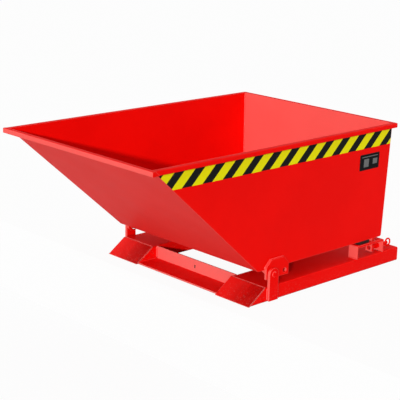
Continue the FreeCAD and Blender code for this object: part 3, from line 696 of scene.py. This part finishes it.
def dress_nodes():
    """Give every CAD piece the finish of its slot, or its own finish."""
    for row in frame["record"]["subparts"]:
        piece = nodes[row["node"]]
        finish = NODE_FINISH.get(row["node"], SLOT_FINISH[row["material_slot"]])
        if not piece.material_slots:
            piece.data.materials.append(finish)
        for slot in piece.material_slots:
            slot.material = finish


dress_nodes()


# Mesh helpers

def new_object(name, data):
    """An object in the scene."""
    item = bpy.data.objects.new(name, data)
    bpy.context.scene.collection.objects.link(item)
    return item


def new_piece(name, vertices, faces, finish, body, smooth=True):
    """A mesh piece that rides on a body."""
    mesh = bpy.data.meshes.new(name)
    mesh.from_pydata(vertices, [], faces)
    mesh.validate()
    mesh.polygons.foreach_set("use_smooth", [smooth] * len(mesh.polygons))
    mesh.materials.append(finish)
    piece = new_object(name, mesh)
    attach(piece, body)
    return piece


def stepped(points, spacing):
    """Points at an even spacing along a path of straight runs."""
    places = [Vector(point) for point in points]
    result = []
    for start, end in zip(places, places[1:]):
        count = max(1, round((end - start).length / spacing))
        result.extend(start.lerp(end, number / count) for number in range(count))
    result.append(places[-1])
    return result


def tube_mesh(centres, radii, sides, closed):
    """Vertices and faces of a round bead along its centres."""
    count = len(centres)
    vertices = []
    faces = []
    side_way = None
    for number, centre in enumerate(centres):
        before = centres[number - 1] if number > 0 or closed else centre
        after = centres[(number + 1) % count] if number < count - 1 or closed else centre
        along = (after - before).normalized()
        if side_way is None:
            side_way = along.orthogonal().normalized()
        side_way = (side_way - along * side_way.dot(along)).normalized()
        other_way = along.cross(side_way)
        for turn in range(sides):
            angle = math.tau * turn / sides
            offset = side_way * math.cos(angle) + other_way * math.sin(angle)
            vertices.append(centre + offset * radii[number])
    for number in range(count if closed else count - 1):
        following = (number + 1) % count
        for turn in range(sides):
            beside = (turn + 1) % sides
            faces.append((
                number * sides + turn,
                number * sides + beside,
                following * sides + beside,
                following * sides + turn,
            ))
    if not closed:
        faces.append(tuple(reversed(range(sides))))
        faces.append(tuple((count - 1) * sides + turn for turn in range(sides)))
    return vertices, faces


def flipped(path):
    """The same path on the left-hand side."""
    return [(-x, y, z) for x, y, z in path]


def ring_path(centre, radius, across, along, steps):
    """Closed circle of points about a centre, in the plane of two directions."""
    points = []
    for number in range(steps + 1):
        angle = math.tau * number / steps
        points.append(centre + across * (radius * math.cos(angle)) + along * (radius * math.sin(angle)))
    return points


def upright_seam(x, y, low, high, margins):
    """Path up a straight seam, short of its two ends by its margins."""
    base, top = margins
    return [(x, y, low + base), (x, y, high - top)]


def level_seam(y, z, low, high, margins):
    """Path along a straight seam across the part, short of its two ends by its margins."""
    left, right = margins
    return [(low + left, y, z), (high - right, y, z)]


# Weld beads

BEAD_RADII = {
    "upright": 0.0034,
    "nose": 0.0020,
    "bracket": 0.0030,
    "angle": 0.0034,
    "bar": 0.0030,
    "pin": 0.0018,
    "lug": 0.0032,
    "gusset": 0.0022,
    "keeper": 0.0030,
    "hopper": 0.0026,
}
BEAD_SIDES = 8
RIPPLE_LENGTH = 0.0052
RIPPLE_STEPS = 4
RIPPLE_SHARE = 0.11

# Share of the radius at the end of a bead, and how much it grows at each step
END_SHARE = 0.55
END_GROWTH = 0.15

# Wander of a bead's radius: share of the radius, radians for each step, radians at the start
SLOW_WANDER = (0.10, 0.083, 0.0)
QUICK_WANDER = (0.06, 0.217, 1.0)


def wander(number, share, pace, start):
    """Slow change of a bead's radius at one of its steps."""
    return share * math.sin(number * pace + start)


def bead_radii(count, radius):
    """Radii of a weld bead: ripples, a slow wander and tapered ends."""
    radii = []
    for number in range(count):
        ripple = RIPPLE_SHARE * math.sin(math.tau * number / RIPPLE_STEPS)
        drift = wander(number, *SLOW_WANDER) + wander(number, *QUICK_WANDER)
        near_end = min(number, count - 1 - number)
        taper = min(1.0, END_SHARE + END_GROWTH * near_end)
        radii.append(radius * taper * (1.0 + ripple + drift))
    return radii


def weld_bead(name, paths, radius, body):
    """One piece holding a weld bead along each path."""
    vertices = []
    faces = []
    for path in paths:
        centres = stepped(path, RIPPLE_LENGTH / RIPPLE_STEPS)
        radii = bead_radii(len(centres), radius)
        own_vertices, own_faces = tube_mesh(centres, radii, BEAD_SIDES, False)
        first = len(vertices)
        vertices.extend(own_vertices)
        faces.extend(tuple(first + corner for corner in face) for face in own_faces)
    return new_piece(name, vertices, faces, weld_paint, body)


def weld_pair(label, right_paths, left_paths, body):
    """The beads of a seam on the right-hand side, and those on the left."""
    weld_bead(f"weld_{label}_right", right_paths, BEAD_RADII[label], body)
    weld_bead(f"weld_{label}_left", left_paths, BEAD_RADII[label], body)


def weld_twins(label, paths, body):
    """The beads of a seam on the right-hand side, and the same ones flipped to the left."""
    weld_pair(label, paths, [flipped(path) for path in paths], body)


# Weld beads of the base frame; margins are at the lower or left-hand and the other end of a seam

POST_MARGINS = (0.003, 0.005)
NOSE_MARGINS = (0.004, 0.004)
BRACKET_MARGINS = (0.001, 0.003)
BAR_MARGINS = (0.002, 0.002)
ANGLE_MARGINS = (0.010, 0.002)
ANGLE_THICKNESS = 0.006
ANGLE_TOE_MARGIN = 0.004
ANGLE_HEEL_MARGIN = 0.002
PIN_SEAM_STANDOFF = 0.0004
PIN_SEAM_STEPS = 40


def weld_base():
    """Beads where bars, plates and brackets meet the fork tubes."""
    tube_low, tube_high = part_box("fork_tube_right")
    post_low, post_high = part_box("pivot_upright_right")
    angle_low, angle_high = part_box("front_cross_angle")
    bar_low, bar_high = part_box("rear_cross_bar")
    bracket_low, bracket_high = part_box("rear_bracket_right")
    pin_low, pin_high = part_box("pivot_pin_right")
    nose_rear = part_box("nose_plate_right")[1].y
    face = tube_high.x
    inner = tube_low.x
    top = tube_high.z
    leg_front = angle_high.y - ANGLE_THICKNESS
    flange_start = angle_low.y + ANGLE_TOE_MARGIN
    flange_end = leg_front - ANGLE_HEEL_MARGIN
    pin_middle = Vector((post_high.x, (pin_low.y + pin_high.y) / 2, (pin_low.z + pin_high.z) / 2))
    pin_seam_radius = (pin_high.y - pin_low.y) / 2 + PIN_SEAM_STANDOFF
    pin_seam = ring_path(pin_middle, pin_seam_radius, Vector((0, 1, 0)), Vector((0, 0, 1)), PIN_SEAM_STEPS)
    seams = {
        "upright": [
            upright_seam(face, y, post_low.z, top, POST_MARGINS)
            for y in (post_low.y, post_high.y)
        ],
        "nose": [level_seam(nose_rear, top, inner, face, NOSE_MARGINS)],
        "bracket": [
            level_seam(y, top, bracket_low.x, bracket_high.x, BRACKET_MARGINS)
            for y in (bracket_low.y, bracket_high.y)
        ],
        "angle": [
            upright_seam(inner, leg_front, 0.0, top, ANGLE_MARGINS),
            [(inner, flange_start, ANGLE_THICKNESS), (inner, flange_end, ANGLE_THICKNESS)],
        ],
        "bar": [
            upright_seam(inner, y, bar_low.z, bar_high.z, BAR_MARGINS)
            for y in (bar_low.y, bar_high.y)
        ],
        "pin": [pin_seam],
    }
    for label, paths in seams.items():
        weld_twins(label, paths, "base_frame")


# Weld beads of the skip, from the outside faces of its walls

wall_low, wall_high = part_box("side_sheet_right")
FLOOR_Z = wall_low.z
FLOOR_HALF_WIDTH = 0.434
FLOOR_FRONT = -0.149
FLOOR_REAR = 0.631
HOPPER_DEPTH = wall_high.z - wall_low.z
SIDE_LEAN = (wall_high.x - FLOOR_HALF_WIDTH) / HOPPER_DEPTH
FRONT_LEAN = (FLOOR_FRONT - wall_low.y) / HOPPER_DEPTH
REAR_LEAN = (wall_high.y - FLOOR_REAR) / HOPPER_DEPTH

# Thickness of the sheet, and of the sloped front sheet measured level
SHEET = 0.003
FRONT_SHEET_LEVEL = 0.00453

# Outlines and ends of the seams
LUG_BEVEL = 0.029
STRAP_BEVEL = 0.014
LUG_SEAM_BASE = 0.003
LUG_SEAM_STANDOFF = 0.001
GUSSET_MARGINS = (0.003, 0.002)
KEEPER_MARGINS = (0.001, 0.004)
MOUTH_MARGIN = 0.004
FRONT_BEND_RUN = 0.004
FRONT_BEND_RISE = 0.0035
FRONT_BEND_FOOT = 0.003
REAR_BEND = 0.005


def side_x(z):
    """Outer face of the right side wall at a height."""
    return FLOOR_HALF_WIDTH + SIDE_LEAN * (z - FLOOR_Z)


def inner_corner(y, z):
    """Point in the inside corner between the right side wall and the folded sheet."""
    return (side_x(z) - SHEET, y, z)


def lug_seam(low, high, bevel):
    """Path round the box of a lug with bevelled upper corners, on the right side wall."""
    base = FLOOR_Z + LUG_SEAM_BASE
    outline = [
        (low.y, base),
        (low.y, high.z - bevel),
        (low.y + bevel, high.z),
        (high.y - bevel, high.z),
        (high.y, high.z - bevel),
        (high.y, base),
    ]
    return [(side_x(z) + LUG_SEAM_STANDOFF, y, z) for y, z in outline]


def hopper_seam():
    """Path down the front wall, along the floor and up the rear wall, inside the right side wall."""
    mouth = cad_high.z - MOUTH_MARGIN
    floor_top = FLOOR_Z + SHEET
    front_low = FLOOR_FRONT - FRONT_LEAN * SHEET + FRONT_SHEET_LEVEL
    front_high = FLOOR_FRONT - FRONT_LEAN * (mouth - FLOOR_Z) + FRONT_SHEET_LEVEL
    rear_low = FLOOR_REAR + REAR_LEAN * SHEET - SHEET
    rear_high = FLOOR_REAR + REAR_LEAN * (mouth - FLOOR_Z) - SHEET
    return [
        inner_corner(front_high, mouth),
        inner_corner(front_low - FRONT_BEND_RUN, floor_top + FRONT_BEND_RISE),
        inner_corner(front_low + FRONT_BEND_FOOT, floor_top),
        inner_corner(rear_low - REAR_BEND, floor_top),
        inner_corner(rear_low, floor_top + REAR_BEND),
        inner_corner(rear_high, mouth),
    ]


def weld_skip():
    """Beads of the lugs, gussets and keeper, and the long seams inside the hopper."""
    lug_path = lug_seam(*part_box("pivot_lug_right"), LUG_BEVEL)
    strap_path = flipped(lug_seam(*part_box("pivot_lug_left"), STRAP_BEVEL))
    weld_pair("lug", [lug_path], [strap_path], "skip")
    gusset_low, gusset_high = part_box("lug_gusset_right")
    gusset_path = level_seam(gusset_low.y, FLOOR_Z, gusset_low.x, gusset_high.x, GUSSET_MARGINS)
    weld_twins("gusset", [gusset_path], "skip")
    keeper_low, keeper_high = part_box("lock_keeper")
    keeper_paths = [
        level_seam(y, FLOOR_Z, keeper_low.x, keeper_high.x, KEEPER_MARGINS)
        for y in (keeper_low.y, keeper_high.y)
    ]
    weld_bead("weld_keeper", keeper_paths, BEAD_RADII["keeper"], "skip")
    weld_twins("hopper", [hopper_seam()], "skip")


weld_base()
weld_skip()


# Pull ring

WIRE_COAT = 0.0005
RING_STEPS = 96
RING_SIDES = 16
JOINT_PLACE = 0.12
JOINT_NECK = 0.10
JOINT_STEPS = 2.0


def make_pull_ring():
    """Ring bent from round wire, closed by a small welded joint."""
    low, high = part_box("pull_ring")
    middle = (low + high) / 2
    wire = (high.x - low.x) / 2 + WIRE_COAT
    radius = (high.y - low.y) / 2 - wire
    centres = []
    radii = []
    for number in range(RING_STEPS):
        angle = math.tau * number / RING_STEPS
        centres.append(middle + Vector((0, math.cos(angle), math.sin(angle))) * radius)
        from_joint = abs(number - RING_STEPS * JOINT_PLACE)
        radii.append(wire * (1.0 - JOINT_NECK * math.exp(-(from_joint / JOINT_STEPS) ** 2)))
    vertices, faces = tube_mesh(centres, radii, RING_SIDES, True)
    ring = new_piece("bent_pull_ring", vertices, faces, fitting_paint, "lock_bolt")
    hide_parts("pull_ring")


make_pull_ring()


# Blank fields of the plate: start, end, base and top of each as shares of the plate's sides

PLATE_FIELDS = {
    "plate_field_front": (0.20, 0.46, 0.18, 0.70),
    "plate_field_rear": (0.66, 0.90, 0.30, 0.66),
    "plate_bar": (0.08, 0.92, 0.80, 0.86),
}
PLATE_THICKNESS = 0.0015
FIELD_BEVEL = 0.0008
FIELD_RISE = 0.0003


def field_corners(y_span, z_span, inset, rise):
    """Corners of a field, drawn in by an inset, at a height above the face of the plate."""
    y_low, y_high = y_span[0] + inset, y_span[1] - inset
    z_low, z_high = z_span[0] + inset, z_span[1] - inset
    outline = [(y_low, z_low), (y_high, z_low), (y_high, z_high), (y_low, z_high)]
    return [(side_x(z) + PLATE_THICKNESS + rise, y, z) for y, z in outline]


def make_plate_fields():
    """Two blank raised fields and a thin bar on the black plate."""
    low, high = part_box("rating_plate")
    for label, (start, end, base, top) in PLATE_FIELDS.items():
        y_span = [low.y + (high.y - low.y) * share for share in (start, end)]
        z_span = [low.z + (high.z - low.z) * share for share in (base, top)]
        back = field_corners(y_span, z_span, 0.0, -FIELD_RISE)
        front = field_corners(y_span, z_span, FIELD_BEVEL, FIELD_RISE)
        count = len(back)
        faces = [tuple(range(count, 2 * count)), tuple(reversed(range(count)))]
        for number in range(count):
            following = (number + 1) % count
            faces.append((number, following, count + following, count + number))
        new_piece(label, back + front, faces, field_grey, "skip", smooth=False)


make_plate_fields()


# Floor and world

FLOOR_STEP_SETBACK = 0.43
FLOOR_REACH = 14.0
FLOOR_DROP = 0.32
FLOOR_ROUNDING = 0.02
FLOOR_GLOW = 0.95
FLOOR_IN_GLOSS = 0.12
WORLD_LIGHT = 0.34
WORLD_IN_GLOSS = 0.2


def seen_directly(tree, in_gloss):
    """1 for rays from the camera and through glass, a set share for rays from gloss."""
    path = add(tree, "ShaderNodeLightPath")
    gloss = maths(tree, "MULTIPLY", path.outputs["Is Glossy Ray"], in_gloss)
    either = maths(tree, "MAXIMUM", path.outputs["Is Camera Ray"], gloss)
    return maths(tree, "MAXIMUM", either, path.outputs["Is Transmission Ray"])


def mix_shaders(tree, share, first, second, output):
    """A mix of two shaders on an output node."""
    mix = add(tree, "ShaderNodeMixShader")
    sources = (share, first.outputs[0], second.outputs[0])
    for source, target in zip(sources, mix.inputs):
        join(tree, source, target)
    join(tree, mix.outputs["Shader"], output.inputs["Surface"])


def make_floor_white():
    """Pale matt floor that the eye sees as white."""
    material = bpy.data.materials.new("floor_white")
    tree = empty_tree(material)
    matt = add(tree, "ShaderNodeBsdfDiffuse", values={"Color": FLOOR_GREY})
    glow = add(tree, "ShaderNodeEmission", values={"Color": WHITE, "Strength": 1.0})
    share = product(tree, seen_directly(tree, FLOOR_IN_GLOSS), FLOOR_GLOW)
    mix_shaders(tree, share, matt, glow, add(tree, "ShaderNodeOutputMaterial"))
    return material


def make_floor():
    """Pale floor with a step down in front, so that the tipped lip hangs clear of it."""
    edge = cad_low.y + FLOOR_STEP_SETBACK
    profile = [
        (-FLOOR_REACH, -FLOOR_DROP),
        (edge - FLOOR_ROUNDING, -FLOOR_DROP),
        (edge, -FLOOR_ROUNDING),
        (edge + FLOOR_ROUNDING, 0.0),
        (FLOOR_REACH, 0.0),
    ]
    vertices = [(x, y, z) for x in (-FLOOR_REACH, FLOOR_REACH) for y, z in profile]
    count = len(profile)
    faces = [(count + number, count + number + 1, number + 1, number) for number in range(count - 1)]
    mesh = bpy.data.meshes.new("floor")
    mesh.from_pydata(vertices, [], faces)
    mesh.materials.append(make_floor_white())
    floor = new_object("floor", mesh)


def make_world():
    """White surroundings for the eye, softer for the light."""
    world = bpy.data.worlds.new("white_studio")
    bpy.context.scene.world = world
    tree = empty_tree(world)
    light = add(tree, "ShaderNodeBackground", values={"Color": WHITE, "Strength": WORLD_LIGHT})
    eye = add(tree, "ShaderNodeBackground", values={"Color": WHITE, "Strength": 1.0})
    share = seen_directly(tree, WORLD_IN_GLOSS)
    mix_shaders(tree, share, light, eye, add(tree, "ShaderNodeOutputWorld"))


# Distant lamps: the direction that each shines from, its strength and its spread in radians

SUNS = {
    "key_sun": ((0.57, -0.75, 0.243), 2.8, 0.03),
    "overhead_fill": ((0.10, -0.15, 0.98), 0.75, 0.9),
    "left_fill": ((-0.93, -0.10, 0.35), 0.6, 0.5),
    "rear_fill": ((0.15, 0.93, 0.35), 0.65, 0.5),
}


def add_suns():
    """A lamp for each row of the table."""
    for name, (direction, strength, spread) in SUNS.items():
        lamp = bpy.data.lights.new(name, "SUN")
        lamp.energy = strength
        lamp.angle = spread
        sun = new_object(name, lamp)
        sun.rotation_mode = "QUATERNION"
        sun.rotation_quaternion = Vector(direction).to_track_quat("Z", "Y")


# Camera; its angles are in degrees, and its sensor and lens in millimetres

CAMERA_AZIMUTH = 46.7497
CAMERA_ELEVATION = 15.5385
CAMERA_ROLL = 1.2973
CAMERA_PLACE = Vector((3.5278, -3.3881, 1.6729))
CAMERA_REACH = 60.0
SENSOR_WIDTH = 36.0
PHOTO_WIDTH_PIXELS = 400.0
FOCUS_PIXELS = 1176.57


def add_camera():
    """Camera at the photograph's place."""
    lens = bpy.data.cameras.new("photo_camera")
    lens.sensor_width = SENSOR_WIDTH
    lens.lens = FOCUS_PIXELS * SENSOR_WIDTH / PHOTO_WIDTH_PIXELS
    lens.clip_end = CAMERA_REACH
    camera = new_object("photo_camera", lens)
    turn = math.radians(CAMERA_AZIMUTH)
    rise = math.radians(CAMERA_ELEVATION)
    tilt = math.radians(CAMERA_ROLL)
    back = Vector((math.sin(turn) * math.cos(rise), -math.cos(turn) * math.cos(rise), math.sin(rise)))
    right = Vector((math.cos(turn), math.sin(turn), 0.0))
    up = back.cross(right)
    rolled_right = right * math.cos(tilt) + up * math.sin(tilt)
    rolled_up = up * math.cos(tilt) - right * math.sin(tilt)
    camera_turn = Matrix((rolled_right, rolled_up, back)).transposed()
    camera.matrix_world = Matrix.Translation(CAMERA_PLACE) @ camera_turn.to_4x4()
    bpy.context.scene.camera = camera


make_floor()
make_world()
add_suns()
add_camera()
bpy.context.scene.view_settings.view_transform = "Standard"
